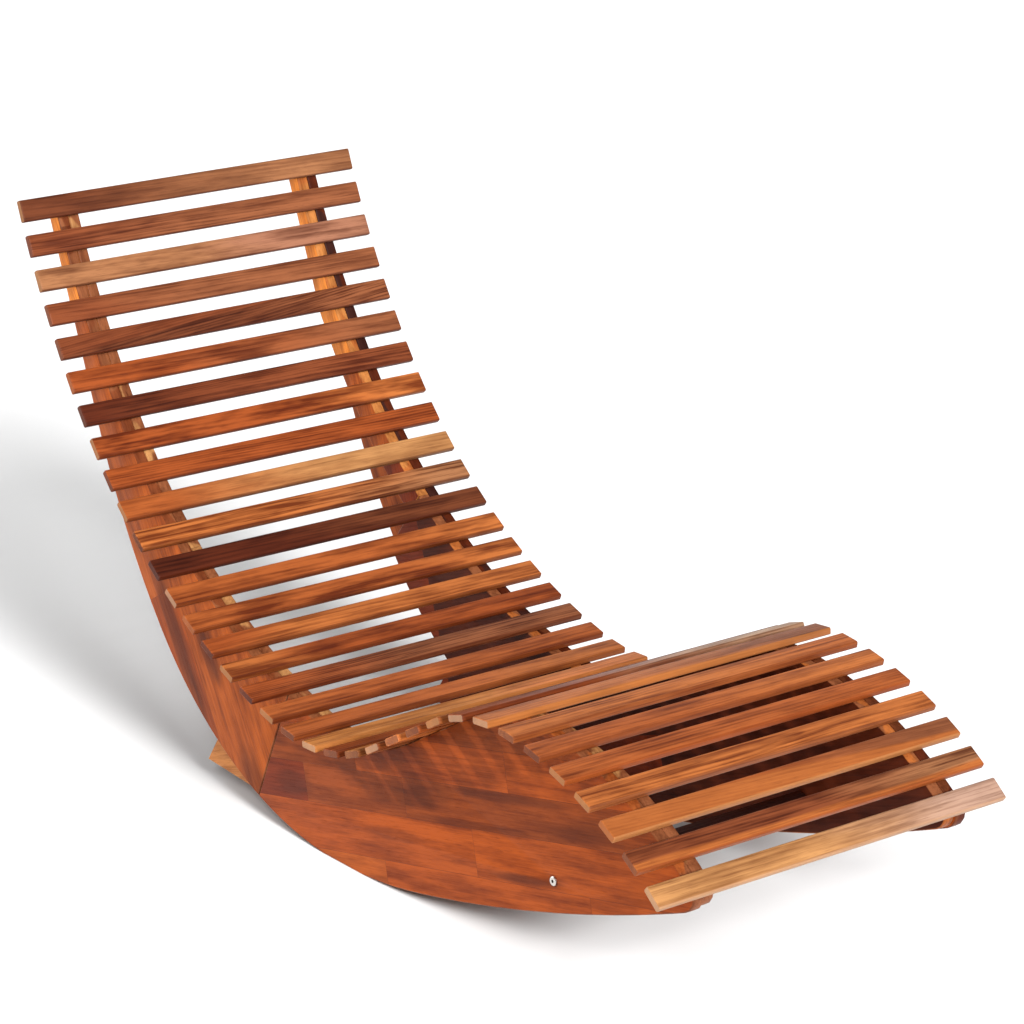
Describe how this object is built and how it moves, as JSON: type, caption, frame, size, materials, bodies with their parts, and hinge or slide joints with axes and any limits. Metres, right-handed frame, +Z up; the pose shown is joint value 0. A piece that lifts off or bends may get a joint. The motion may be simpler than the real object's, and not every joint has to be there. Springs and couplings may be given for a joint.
{
  "type": "rocking chaise lounge",
  "caption": "Slatted hardwood lounger: cross slats follow a reclined S curve on bent two-layer side frames whose curved lower edges rock on the floor.",
  "frame": {"origin": "on the floor, at the middle of the outline seen from above", "axes": "+Z up, +X from the head end to the foot end, +Y to the sitter's left"},
  "size_m": [1.541, 0.6, 0.8423],
  "materials": {
    "wood_umber": "dark heartwood, oiled, semi-gloss",
    "wood_brown": "mid brown hardwood, oiled, semi-gloss",
    "wood_russet": "red-orange hardwood, oiled, semi-gloss",
    "wood_honey": "honey hardwood, oiled, semi-gloss",
    "wood_tan": "pale tan sapwood, oiled, semi-gloss",
    "zinc_steel": "bright zinc-plated steel"
  },
  "bodies": {
    "root": {"slat_01": "wood_brown", "slat_02": "wood_brown", "slat_03": "wood_honey", "slat_04": "wood_brown", "slat_05": "wood_umber", "slat_06": "wood_russet", "slat_07": "wood_umber", "slat_08": "wood_russet", "slat_09": "wood_russet", "slat_10": "wood_tan", "slat_11": "wood_brown", "slat_12": "wood_umber", "slat_13": "wood_russet", "slat_14": "wood_russet", "slat_15": "wood_russet", "slat_16": "wood_russet", "slat_17": "wood_brown", "slat_18": "wood_brown", "slat_19": "wood_honey", "slat_20": "wood_brown", "slat_21": "wood_umber", "slat_22": "wood_brown", "slat_23": "wood_honey", "slat_24": "wood_honey", "slat_25": "wood_umber", "slat_26": "wood_tan", "slat_27": "wood_honey", "slat_28": "wood_brown", "slat_29": "wood_russet", "slat_30": "wood_brown", "slat_31": "wood_brown", "slat_32": "wood_russet", "slat_33": "wood_honey", "slat_34": "wood_umber", "slat_35": "wood_tan", "back_panel_left": "wood_russet", "back_panel_right": "wood_russet", "base_panel_left": "wood_russet", "base_panel_right": "wood_russet", "back_rail_left": "wood_honey", "back_rail_right": "wood_honey", "base_liner_left": "wood_honey", "base_liner_right": "wood_honey", "cross_rail": "wood_brown", "cross_rail_bolt_left": "zinc_steel", "cross_rail_bolt_right": "zinc_steel", "cross_rail_nut_left": "zinc_steel", "cross_rail_nut_right": "zinc_steel", "lap_bolt_left_1": "zinc_steel", "lap_bolt_left_2": "zinc_steel", "lap_bolt_left_3": "zinc_steel", "lap_bolt_right_1": "zinc_steel", "lap_bolt_right_2": "zinc_steel", "lap_bolt_right_3": "zinc_steel", "lap_insert_left_1": "zinc_steel", "lap_insert_left_2": "zinc_steel", "lap_insert_left_3": "zinc_steel", "lap_insert_right_1": "zinc_steel", "lap_insert_right_2": "zinc_steel", "lap_insert_right_3": "zinc_steel"}
  },
  "joints": []
}
